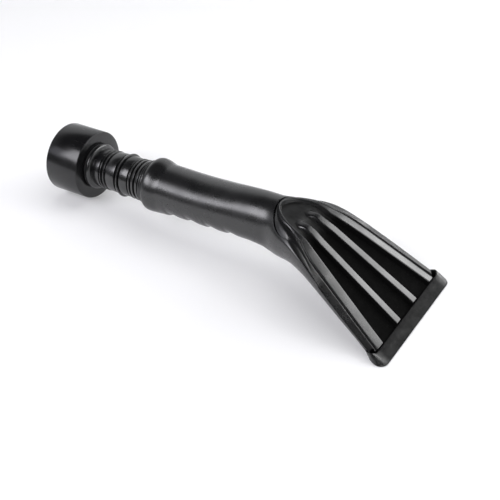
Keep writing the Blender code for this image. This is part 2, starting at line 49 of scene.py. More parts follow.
# %% [markdown]
# ## Camera
#
# The camera stands where the photograph was taken from: in front of the tool, to the right and well above.
# Its place and its lens were fitted to edges of the real object, so no framing by eye is needed.

# %% Set up the camera
CAMERA_PLACE = Vector((0.4071, -0.6020, 0.6027))
CAMERA_TARGET = Vector((0.0174, 0.0054, 0))
CAMERA_LENS = 76.45
CAMERA_ROLL = math.radians(-0.38)

bpy.ops.object.select_all(action="DESELECT")
bpy.ops.object.camera_add(location=CAMERA_PLACE)
camera = bpy.context.object
camera.name = "photo_camera"
camera.data.lens = CAMERA_LENS
camera.data.sensor_width = 36
camera.rotation_mode = "QUATERNION"
facing = (CAMERA_TARGET - CAMERA_PLACE).to_track_quat("-Z", "Y")
camera.rotation_quaternion = facing @ Quaternion((0, 0, 1), CAMERA_ROLL)
bpy.context.scene.camera = camera
bpy.context.scene.view_settings.view_transform = "Standard"
print("camera at", tuple(camera.location))

# %% [markdown]
# ## Studio
#
# Black plastic has almost no colour of its own: what shows is the room that it reflects. So the studio is
# made of a few large, plain things. A pale floor and a pale wall behind give the grey upper and lower edges,
# a dark ceiling gives the black bands, a softbox on the left gives the broad highlight along the grip, a
# lamp behind lights up the ribs, and a large lamp overhead lays the soft shadow on the floor.

# %% Lay the floor
FLOOR_COLOUR = (0.8, 0.8, 0.81, 1)
FLOOR_LIFT = 0.18


def add_node(tree, kind, **values):
    """Adds a shader node and sets its inputs by name."""
    node = tree.nodes.new(kind)
    for name, value in values.items():
        node.inputs[name.replace("_", " ")].default_value = value
    return node


def seen_directly(tree):
    """A factor of 1 for what the camera, a mirror or a lens sees, and 0 for what lights other things."""
    path = add_node(tree, "ShaderNodeLightPath")
    either = add_node(tree, "ShaderNodeMath")
    either.operation = "MAXIMUM"
    tree.links.new(path.outputs["Is Camera Ray"], either.inputs[0])
    tree.links.new(path.outputs["Is Glossy Ray"], either.inputs[1])
    any_of = add_node(tree, "ShaderNodeMath")
    any_of.operation = "MAXIMUM"
    tree.links.new(either.outputs[0], any_of.inputs[0])
    tree.links.new(path.outputs["Is Transmission Ray"], any_of.inputs[1])
    return any_of.outputs[0]


bpy.ops.object.select_all(action="DESELECT")
bpy.ops.mesh.primitive_plane_add(size=12, location=(0, 0, -0.0002))
floor = bpy.context.object
floor.name = "studio_floor"
floor_paint = bpy.data.materials.new("pale_floor")
floor_paint.use_nodes = True
floor_tree = floor_paint.node_tree
floor_tree.nodes.clear()
matte = add_node(floor_tree, "ShaderNodeBsdfDiffuse", Color=FLOOR_COLOUR)
lift = add_node(floor_tree, "ShaderNodeEmission", Color=(1, 1, 1, 1))
lift_strength = add_node(floor_tree, "ShaderNodeMath")
lift_strength.operation = "MULTIPLY"
lift_strength.inputs[1].default_value = FLOOR_LIFT
both = add_node(floor_tree, "ShaderNodeAddShader")
floor_out = add_node(floor_tree, "ShaderNodeOutputMaterial")
floor_tree.links.new(seen_directly(floor_tree), lift_strength.inputs[0])
floor_tree.links.new(lift_strength.outputs[0], lift.inputs["Strength"])
floor_tree.links.new(matte.outputs[0], both.inputs[0])
floor_tree.links.new(lift.outputs[0], both.inputs[1])
floor_tree.links.new(both.outputs[0], floor_out.inputs["Surface"])
floor.data.materials.append(floor_paint)
print("floor", floor.dimensions[:])

# %% Hang the walls and the ceiling as a world
WALL_TOP = 0.56
CEILING_START = 0.72
CEILING_LIGHT = 0.06
FRONT_LIGHT = 0.2
WALL_LIGHT = 0.9

world = bpy.data.worlds.new("studio_walls")
bpy.context.scene.world = world
world.use_nodes = True
world_tree = world.node_tree
world_tree.nodes.clear()
direction = add_node(world_tree, "ShaderNodeTexCoord")
parts = add_node(world_tree, "ShaderNodeSeparateXYZ")
height = add_node(world_tree, "ShaderNodeMapRange", From_Min=WALL_TOP, From_Max=CEILING_START, To_Min=1,
                  To_Max=CEILING_LIGHT)
height.interpolation_type = "SMOOTHSTEP"
depth = add_node(world_tree, "ShaderNodeMapRange", From_Min=-0.5, From_Max=0.2, To_Min=FRONT_LIGHT,
                 To_Max=WALL_LIGHT)
depth.interpolation_type = "SMOOTHSTEP"
shade = add_node(world_tree, "ShaderNodeMath")
shade.operation = "MULTIPLY"
walls = add_node(world_tree, "ShaderNodeBackground", Color=(0.97, 0.98, 1, 1))
white = add_node(world_tree, "ShaderNodeBackground", Color=(1, 1, 1, 1))
camera_ray = add_node(world_tree, "ShaderNodeLightPath")
choose = add_node(world_tree, "ShaderNodeMixShader")
world_out = add_node(world_tree, "ShaderNodeOutputWorld")
world_tree.links.new(direction.outputs["Generated"], parts.inputs[0])
world_tree.links.new(parts.outputs["Z"], height.inputs["Value"])
world_tree.links.new(parts.outputs["Y"], depth.inputs["Value"])
world_tree.links.new(height.outputs[0], shade.inputs[0])
world_tree.links.new(depth.outputs[0], shade.inputs[1])
world_tree.links.new(shade.outputs[0], walls.inputs["Strength"])
world_tree.links.new(camera_ray.outputs["Is Camera Ray"], choose.inputs["Fac"])
world_tree.links.new(walls.outputs[0], choose.inputs[1])
world_tree.links.new(white.outputs[0], choose.inputs[2])
world_tree.links.new(choose.outputs[0], world_out.inputs["Surface"])
print("world", world.name)

# %% Place the lamps
OVERHEAD = (Vector((0.0, 0.25, 1.1)), 0.9, 0.9, 5.2)
SOFTBOX = (Vector((-0.44, -0.84, 0.82)), 0.74, 0.6, 8.8)
LEFT_FILL = (Vector((-1.0, -0.78, 0.66)), 0.5, 0.44, 0.8)
RIGHT_LAMP = (Vector((1.0, -0.46, 0.55)), 0.18, 0.22, 0.75)
BACK_LAMP = (Vector((0.68, 0.83, 0.72)), 1.5, 0.36, 8.6)


def place_lamp(name, lamp, target, colour=(1, 1, 1), roll=0.0):
    """A rectangular lamp that faces a point."""
    place, width, length, power = lamp
    bpy.ops.object.select_all(action="DESELECT")
    bpy.ops.object.light_add(type="AREA", location=place)
    made = bpy.context.object
    made.name = name
    made.data.shape = "RECTANGLE"
    made.data.size = width
    made.data.size_y = length
    made.data.energy = power
    made.data.color = colour
    towards = (target - place).to_track_quat("-Z", "Y")
    made.rotation_euler = (towards @ Quaternion((0, 0, 1), roll)).to_euler()
    made.visible_camera = False
    return made


overhead = place_lamp("overhead_lamp", OVERHEAD, Vector((0, 0, 0)))
overhead.visible_glossy = False
softbox = place_lamp("left_softbox", SOFTBOX, Vector((0, 0, 0.04)), (0.96, 0.95, 1))
back_lamp = place_lamp("back_lamp", BACK_LAMP, Vector((0.139, 0, 0.03)), roll=math.radians(134))
left_fill = place_lamp("left_fill", LEFT_FILL, Vector((-0.1, 0, 0.04)), (0.9, 0.9, 1))
right_lamp = place_lamp("right_lamp", RIGHT_LAMP, Vector((0, 0, 0.04)))
lamps = (overhead, softbox, back_lamp, left_fill, right_lamp)
print("lamps", [(lamp.name, lamp.data.energy) for lamp in lamps])

# %% [markdown]
# ## Finishes
#
# All shells are moulded in the same black plastic. A real moulding isn't one flat black: the steel mould
# leaves a fine grain, handling leaves smears that are a little duller, and there are hair-fine scratches and
# specks of dust. Each of these is one noise texture that drives bump, roughness or colour. The textures read
# Object coordinates, so they stay on the piece when it moves.

# %% Mix the plastic
GRAIN_SIZE = 2200
SMEAR_SIZE = 38
SCRATCH_STRETCH = (60, 900, 900)
DUST_SIZE = 1500


def noise(tree, place, scale, detail=2.0, roughness=0.5):
    texture = add_node(tree, "ShaderNodeTexNoise", Scale=scale, Detail=detail, Roughness=roughness)
    tree.links.new(place, texture.inputs["Vector"])
    return texture.outputs["Fac"]


def spread(tree, value, from_low, from_high, to_low, to_high):
    """Maps one range of a value to another."""
    node = add_node(tree, "ShaderNodeMapRange", From_Min=from_low, From_Max=from_high, To_Min=to_low,
                    To_Max=to_high)
    tree.links.new(value, node.inputs["Value"])
    return node.outputs[0]


def total(tree, first, second):
    node = add_node(tree, "ShaderNodeMath")
    tree.links.new(first, node.inputs[0])
    tree.links.new(second, node.inputs[1])
    return node.outputs[0]


def moulded_plastic(name, colour, dust, roughness, shine, grain, turn=0.0):
    """Black plastic with grain, smears, scratches along the piece and dust."""
    made = bpy.data.materials.new(name)
    made.use_nodes = True
    tree = made.node_tree
    shader = tree.nodes["Principled BSDF"]
    shader.inputs["Specular IOR Level"].default_value = shine
    place = add_node(tree, "ShaderNodeTexCoord").outputs["Object"]
    along = add_node(tree, "ShaderNodeMapping", Scale=SCRATCH_STRETCH, Rotation=(0, turn, 0))
    tree.links.new(place, along.inputs["Vector"])
    smear = spread(tree, noise(tree, place, SMEAR_SIZE, 5, 0.6), 0.35, 0.65, roughness - 0.04, roughness + 0.05)
    scratch = spread(tree, noise(tree, along.outputs[0], 1, 3), 0.66, 0.78, 0, 0.12)
    tree.links.new(total(tree, smear, scratch), shader.inputs["Roughness"])
    specks = spread(tree, noise(tree, place, DUST_SIZE, 2, 0.7), 0.68, 0.78, 0, 1)
    patches = spread(tree, noise(tree, place, SMEAR_SIZE / 2, 3), 0.4, 0.7, 0, 1)
    dusty = add_node(tree, "ShaderNodeMath")
    dusty.operation = "MULTIPLY"
    tree.links.new(specks, dusty.inputs[0])
    tree.links.new(patches, dusty.inputs[1])
    tint = add_node(tree, "ShaderNodeMix")
    tint.data_type = "RGBA"
    tint.inputs["A"].default_value = colour
    tint.inputs["B"].default_value = dust
    tree.links.new(dusty.outputs[0], tint.inputs["Factor"])
    tree.links.new(tint.outputs["Result"], shader.inputs["Base Color"])
    bump = add_node(tree, "ShaderNodeBump", Strength=grain, Distance=0.0002)
    tree.links.new(noise(tree, place, GRAIN_SIZE, 3, 0.6), bump.inputs["Height"])
    tree.links.new(bump.outputs[0], shader.inputs["Normal"])
    return made


grip_plastic = moulded_plastic("grip_plastic", (0.004, 0.004, 0.0045, 1), (0.05, 0.05, 0.05, 1), 0.27, 0.85, 0.05)
cuff_plastic = moulded_plastic("cuff_plastic", (0.004, 0.004, 0.0045, 1), (0.05, 0.05, 0.05, 1), 0.22, 0.55, 0.04)
neck_plastic = moulded_plastic("neck_plastic", (0.004, 0.004, 0.0045, 1), (0.05, 0.05, 0.05, 1), 0.22, 0.85, 0.04)
print("plastics", [m.name for m in (grip_plastic, cuff_plastic, neck_plastic)])

# %% [markdown]
# ## The axis, and a way to turn pieces
#
# The cuff, the neck, the washer and the rings are round about one axis, which rises 4 degrees from the cuff
# to the head. Such a piece can be spun from a profile. Here a circle is extruded from one profile point to
# the next and resized each time, as one would throw a pot, because each step stays easy to change. The last
# ring is bridged to the first, all sharp edges get a small bevel, and the piece is tilted onto the axis.

# %% Turn a piece
AXIS_RISE = math.radians(4.0)
CUFF_RADIUS = 31.5 * MM
CUFF_LENGTH = 35.3 * MM
HALF_LENGTH = 180.806 * MM
AXIS = Vector((math.cos(AXIS_RISE), 0, math.sin(AXIS_RISE)))
AXIS_UP = Vector((-math.sin(AXIS_RISE), 0, math.cos(AXIS_RISE)))
AXIS_START = Vector((-HALF_LENGTH, 0, CUFF_RADIUS * math.cos(AXIS_RISE)))
ROUND_SEGMENTS = 128
MERGE = 0.002 * MM


def finish_mesh(piece, edge, angle=35.0):
    """Merges doubles, turns faces outwards, bevels sharp edges and smooths the rest."""
    bpy.ops.object.mode_set(mode="EDIT")
    bpy.ops.mesh.select_all(action="SELECT")
    bpy.ops.mesh.remove_doubles(threshold=MERGE)
    bpy.ops.mesh.normals_make_consistent(inside=False)
    bpy.ops.object.mode_set(mode="OBJECT")
    if edge:
        bevel = piece.modifiers.new("round_edges", "BEVEL")
        bevel.width = edge
        bevel.segments = 3
        bevel.limit_method = "ANGLE"
        bevel.angle_limit = math.radians(angle)
        bpy.ops.object.modifier_apply(modifier=bevel.name)
        bpy.ops.object.mode_set(mode="EDIT")
        bpy.ops.mesh.select_all(action="SELECT")
        bpy.ops.mesh.dissolve_degenerate(threshold=MERGE)
        bpy.ops.object.mode_set(mode="OBJECT")
    bpy.ops.object.shade_smooth_by_angle(angle=math.radians(40))


def turn_piece(name, profile, edge, segments=ROUND_SEGMENTS):
    """A ring turned about the axis from a closed profile of (radius, distance along the axis)."""
    bpy.ops.object.select_all(action="DESELECT")
    radius, along = profile[0]
    bpy.ops.mesh.primitive_circle_add(vertices=segments, radius=radius, location=(0, 0, along))
    piece = bpy.context.object
    piece.name = name
    piece.data.name = name
    bpy.ops.object.transform_apply(location=True, rotation=True, scale=True)
    bpy.ops.object.mode_set(mode="EDIT")
    bpy.ops.mesh.select_mode(type="EDGE")
    bpy.ops.mesh.select_all(action="SELECT")
    for next_radius, next_along in profile[1:]:
        bpy.ops.mesh.extrude_region_move(TRANSFORM_OT_translate={"value": (0, 0, next_along - along)})
        scale = next_radius / radius
        bpy.ops.transform.resize(value=(scale, scale, 1), center_override=(0, 0, next_along))
        radius, along = next_radius, next_along
    bpy.ops.mesh.select_all(action="DESELECT")
    bpy.ops.mesh.select_non_manifold()
    bpy.ops.mesh.bridge_edge_loops()
    bpy.ops.object.mode_set(mode="OBJECT")
    finish_mesh(piece, edge)
    piece.rotation_euler = (0, math.pi / 2 - AXIS_RISE, 0)
    piece.location = AXIS_START
    bpy.ops.object.transform_apply(location=True, rotation=True, scale=True)
    return piece


def dress(piece, body, node, slot, *finishes):
    """Gives a finished piece its materials and its body, and hides the CAD node that it stands for. The slot is not
    used.
    """
    for finish in finishes:
        piece.data.materials.append(finish)
    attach(piece, body)
    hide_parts(node)
    print(piece.name, len(piece.data.polygons), "faces")


# %% [markdown]
# ## Hose cuff
#
# The cuff is a plain cup: a thin wall with a socket for the hose end behind, and a flat front face with a
# hole for the neck. What makes it real is the edge work. The front edge is a crisp radius that catches a
# thin line of light, and the mouth of the socket is eased so that a hose slides in.

# %% Make the cuff
CUFF_BORE = 28.6 * MM
WEB_REAR = 31.3 * MM
WEB_HOLE = 16.3 * MM
cuff = turn_piece("cuff_cup", [
    (WEB_HOLE, CUFF_LENGTH),
    (CUFF_RADIUS - 0.9 * MM, CUFF_LENGTH),
    (CUFF_RADIUS - 0.25 * MM, CUFF_LENGTH - 0.25 * MM),
    (CUFF_RADIUS, CUFF_LENGTH - 0.9 * MM),
    (CUFF_RADIUS, 0.4 * MM),
    (CUFF_RADIUS - 0.4 * MM, 0),
    (CUFF_BORE + 1.2 * MM, 0),
    (CUFF_BORE, 1.2 * MM),
    (CUFF_BORE, WEB_REAR - 1 * MM),
    (CUFF_BORE - 1 * MM, WEB_REAR),
    (WEB_HOLE, WEB_REAR),
], 0.25 * MM)
dress(cuff, "cuff", "hose_cuff", "cuff", cuff_plastic)

# %% [markdown]
# ## Swivel: washer and snap ring
#
# Between the cuff's face and the neck's flange lies a slippery washer, and a split steel ring behind the
# cuff's web keeps the two together. Only the washer's edge shows, as a dark line. The ring is turned like the
# others and its gap is cut by deleting faces and closing the two ends.

# %% Make the washer
SLIP_COLOUR = (0.03, 0.03, 0.031, 1)
slip_plastic = moulded_plastic("slip_plastic", SLIP_COLOUR, (0.08, 0.08, 0.08, 1), 0.45, 0.4, 0.08)
washer = turn_piece("swivel_washer", [
    (WEB_HOLE, 37.4 * MM),
    (20.3 * MM, 37.4 * MM),
    (20.3 * MM, 35.6 * MM),
    (WEB_HOLE, 35.6 * MM),
], 0.2 * MM)
dress(washer, "plug", "thrust_washer", "washer", slip_plastic)

# %% Make the snap ring
STEEL_COLOUR = (0.42, 0.42, 0.43, 1)
SPLIT_HALF = 3.0 * MM


def drawn_steel(name):
    """Spring steel with fine drawing lines round the axis."""
    made = bpy.data.materials.new(name)
    made.use_nodes = True
    tree = made.node_tree
    shader = tree.nodes["Principled BSDF"]
    shader.inputs["Metallic"].default_value = 1
    place = add_node(tree, "ShaderNodeTexCoord").outputs["Object"]
    lines = add_node(tree, "ShaderNodeMapping", Scale=(9000, 400, 400), Rotation=(0, AXIS_RISE, 0))
    tree.links.new(place, lines.inputs["Vector"])
    streak = noise(tree, lines.outputs[0], 1, 3)
    tree.links.new(spread(tree, streak, 0.3, 0.7, 0.24, 0.42), shader.inputs["Roughness"])
    tint = add_node(tree, "ShaderNodeMix")
    tint.data_type = "RGBA"
    tint.inputs["A"].default_value = STEEL_COLOUR
    tint.inputs["B"].default_value = (0.3, 0.29, 0.28, 1)
    tree.links.new(spread(tree, noise(tree, place, 300, 4), 0.45, 0.7, 0, 1), tint.inputs["Factor"])
    tree.links.new(tint.outputs["Result"], shader.inputs["Base Color"])
    bump = add_node(tree, "ShaderNodeBump", Strength=0.08, Distance=0.0001)
    tree.links.new(streak, bump.inputs["Height"])
    tree.links.new(bump.outputs[0], shader.inputs["Normal"])
    return made


RING_FRONT = 31.0 * MM
RING_REAR = 29.3 * MM
snap_ring = turn_piece("split_ring", [
    (14.8 * MM, RING_FRONT),
    (17.4 * MM, RING_FRONT),
    (17.4 * MM, RING_REAR),
    (14.8 * MM, RING_REAR),
], 0.15 * MM)
bpy.ops.object.mode_set(mode="EDIT")
for side in (-1, 1):
    bpy.ops.mesh.select_all(action="SELECT")
    bpy.ops.mesh.bisect(plane_co=(0, side * SPLIT_HALF, 0), plane_no=(0, side, 0))
bpy.ops.mesh.select_all(action="DESELECT")
bpy.ops.object.mode_set(mode="OBJECT")
ring_top = AXIS_START + AXIS * RING_FRONT
for face in snap_ring.data.polygons:
    above = (face.center - ring_top).dot(AXIS_UP)
    face.select = above > 0 and abs(face.center.y) < SPLIT_HALF
bpy.ops.object.mode_set(mode="EDIT")
bpy.ops.mesh.delete(type="FACE")
bpy.ops.mesh.select_all(action="DESELECT")
bpy.ops.mesh.select_mode(type="EDGE")
bpy.ops.mesh.select_non_manifold()
bpy.ops.mesh.edge_face_add()
bpy.ops.object.mode_set(mode="OBJECT")
dress(snap_ring, "plug", "snap_ring", "clip", drawn_steel("drawn_steel"))

# %% [markdown]
# ## Neck
#
# The neck is the plug that joins the cuff and the grip. On the real one it is a row of raised bands with
# dark grooves between them, a rounded hub ring against the cuff, a high ring in the middle and three narrow rings
# by the grip's bell. Each band is a step up, a slightly sloped top and a step down. The part that is hidden in the
# grip carries two rubber rings, which show when the plug is pulled out.

# %% Make the neck
INSERT_RADIUS = 16.6 * MM
INSERT_END = 125.5 * MM
PLUG_BORE = 13.0 * MM
SEAL_PLACES = (100.5 * MM, 114.5 * MM)
BAND_EDGE = 0.5 * MM
# bands from the flange to the grip: start, end, rise at the start and at the end
BANDS = (
    (42.6, 50.6, 1.4, 1.8),
    (51.2, 53.1, 2.0, 2.0),
    (53.6, 57.0, 1.5, 2.1),
    (57.9, 68.3, 1.5, 1.9),
    (69.1, 73.0, 2.3, 3.6),
    (73.5, 82.5, 2.1, 1.4),
    (83.5, 86.1, 1.9, 2.1),
    (86.9, 90.3, 1.8, 2.3),
    (91.2, 94.9, 1.9, 2.4),
)
neck_profile = [(PLUG_BORE, INSERT_END), (15.6 * MM, INSERT_END), (INSERT_RADIUS, INSERT_END - 1 * MM)]
for middle in reversed(SEAL_PLACES):
    neck_profile += [
        (INSERT_RADIUS, middle + 1.3 * MM),
        (15.0 * MM, middle + 1.3 * MM),
        (15.0 * MM, middle - 1.3 * MM),
        (INSERT_RADIUS, middle - 1.3 * MM),
    ]
for start, end, rise, end_rise in reversed(BANDS):
    neck_profile += [
        (INSERT_RADIUS, end * MM),
        (INSERT_RADIUS + end_rise * MM, end * MM - BAND_EDGE),
        (INSERT_RADIUS + rise * MM, start * MM + BAND_EDGE),
        (INSERT_RADIUS, start * MM),
    ]
neck_profile += [
    (17.3 * MM, 41.9 * MM),
    (18.6 * MM, 41.6 * MM),
    (20.1 * MM, 41.0 * MM),
    (21.0 * MM, 40.1 * MM),
    (21.3 * MM, 39.1 * MM),
    (21.0 * MM, 38.2 * MM),
    (20.4 * MM, 37.7 * MM),
    (16.0 * MM, 37.7 * MM),
    (16.0 * MM, WEB_REAR),
    (14.5 * MM, WEB_REAR),
    (14.5 * MM, 29.0 * MM),
    (16.0 * MM, 29.0 * MM),
    (16.0 * MM, 25.4 * MM),
    (15.6 * MM, 25.0 * MM),
    (PLUG_BORE, 25.0 * MM),
]
neck = turn_piece("ribbed_neck", neck_profile, 0.3 * MM)
dress(neck, "plug", "connector_plug", "plug", neck_plastic)

# %% [markdown]
# ## Seal rings
#
# Two rubber rings sit in the neck's hidden grooves. They are turned from a small round profile, with the thin
# flash line that a two-part mould leaves round the outside.

# %% Make the seal rings
SEAL_WIRE = 1.0 * MM
SEAL_CENTRE = 16.3 * MM
SEAL_STEPS = 20


def dull_rubber(name, colour, scuff, roughness):
    """Matte black rubber with a pitted skin, pale scuffs and a little bloom."""
    made = bpy.data.materials.new(name)
    made.use_nodes = True
    tree = made.node_tree
    shader = tree.nodes["Principled BSDF"]
    place = add_node(tree, "ShaderNodeTexCoord").outputs["Object"]
    split = add_node(tree, "ShaderNodeSeparateXYZ")
    tree.links.new(place, split.inputs[0])
    aside = add_node(tree, "ShaderNodeMath")
    aside.operation = "ABSOLUTE"
    tree.links.new(split.outputs["Y"], aside.inputs[0])
    worn = spread(tree, aside.outputs[0], 50 * MM, 57 * MM, 0, 1)
    tree.links.new(spread(tree, worn, 0, 1, 0.22, 0.75), shader.inputs["Specular IOR Level"])
    pits = noise(tree, place, 1700, 4, 0.65)
    blot = noise(tree, place, 160, 5, 0.65)
    dull = spread(tree, blot, 0.35, 0.65, roughness - 0.1, roughness + 0.12)
    polish = spread(tree, worn, 0, 1, 0, -0.3)
    tree.links.new(total(tree, dull, polish), shader.inputs["Roughness"])
    streaks = add_node(tree, "ShaderNodeMapping", Scale=(420, 90, 420))
    tree.links.new(place, streaks.inputs["Vector"])
    marks = spread(tree, noise(tree, streaks.outputs[0], 1, 5, 0.7), 0.56, 0.76, 0, 0.8)
    tint = add_node(tree, "ShaderNodeMix")
    tint.data_type = "RGBA"
    tint.inputs["A"].default_value = colour
    tint.inputs["B"].default_value = scuff
    tree.links.new(marks, tint.inputs["Factor"])
    tree.links.new(tint.outputs["Result"], shader.inputs["Base Color"])
    bump = add_node(tree, "ShaderNodeBump", Strength=0.25, Distance=0.0002)
    tree.links.new(pits, bump.inputs["Height"])
    tree.links.new(bump.outputs[0], shader.inputs["Normal"])
    return made


seal_rubber = dull_rubber("seal_rubber", (0.018, 0.018, 0.018, 1), (0.05, 0.05, 0.05, 1), 0.6)
for number, middle in enumerate(SEAL_PLACES, 1):
    seal_profile = []
    for step in range(SEAL_STEPS):
        angle = math.pi / 2 - 2 * math.pi * step / SEAL_STEPS
        flash = 0.06 * MM if step == SEAL_STEPS // 4 else 0
        reach = SEAL_WIRE + flash
        seal_profile.append((SEAL_CENTRE + reach * math.cos(angle), middle + reach * math.sin(angle)))
    seal = turn_piece(f"rubber_ring_{number}", seal_profile, 0)
    dress(seal, "plug", f"seal_ring_{number}", "seal", seal_rubber)

# %% [markdown]
# ## Lines of the head
#
# The head can't be turned: it is a shell whose section changes from the round grip to the wide flat mouth.
# It is drawn by lines, as a boat is. One line is the top of the panel, one the underside, one the half
# width, and each section is a rounded box between them. Distances run from the cuff's rear end.

# %% Draw the lines
HANDLE_LENGTH = 134.5 * MM
HEAD_X = 223.455 * MM
HEAD_AXIS_HEIGHT = 47.049 * MM
HANDLE_RADIUS = 22.3 * MM
PANEL_X = 235.955 * MM
PANEL_Z = 69.623 * MM
PANEL_BEND = 65.0 * MM
PANEL_START_SLOPE = math.radians(2.0)
PANEL_SLOPE = math.radians(31.6)
PANEL_END_X = 352.3 * MM
PANEL_END_HEIGHT = 8.0 * MM
HEAD_BACK_X = PANEL_END_X - 17.5 * MM
HEAD_END_X = PANEL_END_X + 6.0 * MM
MOUTH_PLANE_SLOPE = math.radians(16.0)
BEND_END_X = PANEL_X + PANEL_BEND * (math.sin(PANEL_SLOPE) - math.sin(PANEL_START_SLOPE))
BEND_END_Z = PANEL_Z + PANEL_BEND * (math.cos(PANEL_SLOPE) - math.cos(PANEL_START_SLOPE))
COVER_JOIN_X = PANEL_X + 42.0 * MM
SEAT_DEPTH = 7.0 * MM
EDGE_DEPTH = 3.8 * MM
HEAD_HALF_WIDTH = 58.0 * MM


def smooth(value):
    t = min(max(value, 0), 1)
    return t * t * (3 - 2 * t)


def mix(a, b, share):
    return a + (b - a) * share


def panel(x):
    """Height of the panel's top line."""
    if x < PANEL_X:
        return PANEL_Z + (PANEL_X - x) * math.tan(PANEL_START_SLOPE)
    if x < BEND_END_X:
        sine = math.sin(PANEL_START_SLOPE) + (x - PANEL_X) / PANEL_BEND
        return PANEL_Z + PANEL_BEND * (math.sqrt(1 - sine * sine) - math.cos(PANEL_START_SLOPE))
    return BEND_END_Z - (x - BEND_END_X) * math.tan(PANEL_SLOPE)


def half_width(x):
    """Half width of the head at its widest line."""
    t = max((x - HEAD_X) / (PANEL_END_X - HEAD_X), 0)
    swell = (t + 0.09 * math.sin(math.pi * min(t, 1))) * (1 - math.exp(-((t / 0.08) ** 2)))
    return mix(HANDLE_RADIUS, HEAD_HALF_WIDTH, swell)


def widest_height(x):
    axis_height = HEAD_AXIS_HEIGHT + (x - HEAD_X) * math.tan(AXIS_RISE)
    share = smooth((x - HEAD_X) / (COVER_JOIN_X - HEAD_X))
    seat = mix(SEAT_DEPTH, EDGE_DEPTH, smooth((x - 245 * MM) / (40 * MM)))
    return mix(axis_height, panel(x) - seat, share)


def underside(x):
    """Height of the underside: a cubic from the grip's lower line to the back of the mouth."""
    run = HEAD_BACK_X - HEAD_X
    t = (x - HEAD_X) / run
    end = PANEL_END_HEIGHT - (PANEL_END_X - HEAD_BACK_X) * math.tan(MOUTH_PLANE_SLOPE)
    if t > 1:
        return end - (x - HEAD_BACK_X) * math.tan(PANEL_SLOPE)
    start = HEAD_AXIS_HEIGHT - HANDLE_RADIUS
    rise = math.tan(AXIS_RISE) * run
    fall = -math.tan(math.radians(17.0)) * run
    keep = (1 - t) ** 2
    sag = 3.0 * MM * smooth((x - 222 * MM) / (9 * MM)) * (1 - smooth((x - 238 * MM) / (20 * MM)))
    low = start * (1 + 2 * t) * keep + rise * t * keep + end * t * t * (3 - 2 * t) + fall * t * t * (t - 1)
    return low - sag


def squareness(x):
    """Power of the rounded box below its widest line: 1 is round, less is squarer."""
    share = max((x - HEAD_X) / (PANEL_END_X - HEAD_X), 0)
    return 2 / (2 + 1.2 * share ** 3)


def upper_squareness(x):
    return 2 / (2 + 2.6 * smooth((x - 245 * MM) / (50 * MM)))


def crown_top(x):
    """Height of the flank's highest line: over the panel at the grip, a little under it at the rims."""
    over = mix(2.4 * MM, -0.3 * MM, smooth((x - 245 * MM) / (23 * MM)))
    bend = 0.66 * MM * max((236 * MM - x) / (12.5 * MM), 0) ** 2
    return panel(x) + over - bend - 1.5 * MM * smooth((x - 268 * MM) / (84 * MM))


def crown(x, y):
    """Height of the head's upper flank at a point."""
    power = upper_squareness(x)
    middle = widest_height(x)
    sine = min(abs(y) / half_width(x), 1) ** (1 / power)
    return middle + (crown_top(x) - middle) * math.sqrt(1 - sine * sine) ** power


def to_world(x, y, z):
    return (x - HALF_LENGTH, y, z)


print("mouth front", round(PANEL_END_X - HALF_LENGTH, 4), "panel top", round(PANEL_Z, 4))

# %% [markdown]
# ## Edge of the cover
#
# The ribbed cover lies in the body like an inlay. Its round end on the grip is an ellipse, and from there its
# edge runs out to the head's side. A raised rim follows inside that edge: it starts as a thin ridge round the
# recess and widens into a flat band. Both the body and the cover are built on these two curves, so they meet
# along one fine seam.

# %% Draw the edge and the ridge
EDGE_APEX = 232.0 * MM
EDGE_SHOULDER = 259.5 * MM
EDGE_WIDTH = 30.2 * MM
EDGE_RUN_START = 256.0 * MM
EDGE_RUN_END = 296.0 * MM
RIDGE_APEX = 233.2 * MM
RIDGE_SHOULDER = 268.0 * MM
RIDGE_POWER = 1.9
NOSE_ROWS = 56
FAN_ROWS = 80


def edge_half_width(x):
    """Half width of the cover's edge."""
    u = min(max((EDGE_SHOULDER - x) / (EDGE_SHOULDER - EDGE_APEX), 0), 1)
    nose = EDGE_WIDTH * math.sqrt(1 - u * u)
    return mix(nose, half_width(x), smooth((x - EDGE_RUN_START) / (EDGE_RUN_END - EDGE_RUN_START)))


def ridge_half_width(x):
    """Half width of the ridge, which is the rim's inner edge."""
    outset = mix(17.3 * MM, 15.7 * MM, smooth((x - 300 * MM) / (70 * MM)))
    full = half_width(max(x, RIDGE_SHOULDER)) - outset
    u = min(max((RIDGE_SHOULDER - x) / (RIDGE_SHOULDER - RIDGE_APEX), 0), 1)
    return full * (1 - u ** RIDGE_POWER) ** (1 / RIDGE_POWER)


def ridge_stations():
    """Stations of the ridge: close together round its end, even along the fan."""
    turns = [math.pi / 2 * k / NOSE_ROWS for k in range(NOSE_ROWS)]
    stations = [mix(RIDGE_SHOULDER, RIDGE_APEX, math.cos(turn)) for turn in turns]
    return stations + [mix(RIDGE_SHOULDER, HEAD_END_X, k / FAN_ROWS) for k in range(FAN_ROWS + 1)]


def edge_point(x):
    """The edge's point that belongs to a station of the ridge."""
    back = x - (RIDGE_APEX - EDGE_APEX)
    return back, edge_half_width(back)


print("stations", len(ridge_stations()))

# %% [markdown]
# ## Body
#
# Grip and lower head are one shell. A flat grid is wrapped round it: each row of the grid becomes a section,
# open at the top. On the grip the two ends of a row meet and are merged, on the head they lie on the cover's
# edge. The rows run from the mouth back to the bell, turn in there, and come back inside as the airway. The
# outer and inner edges are then bridged to close the wall, and the mouth is cut off on a slanted plane.

# %% Shape the grip
BODY_POINTS = 121
SOCKET_RADIUS = 17.6 * MM
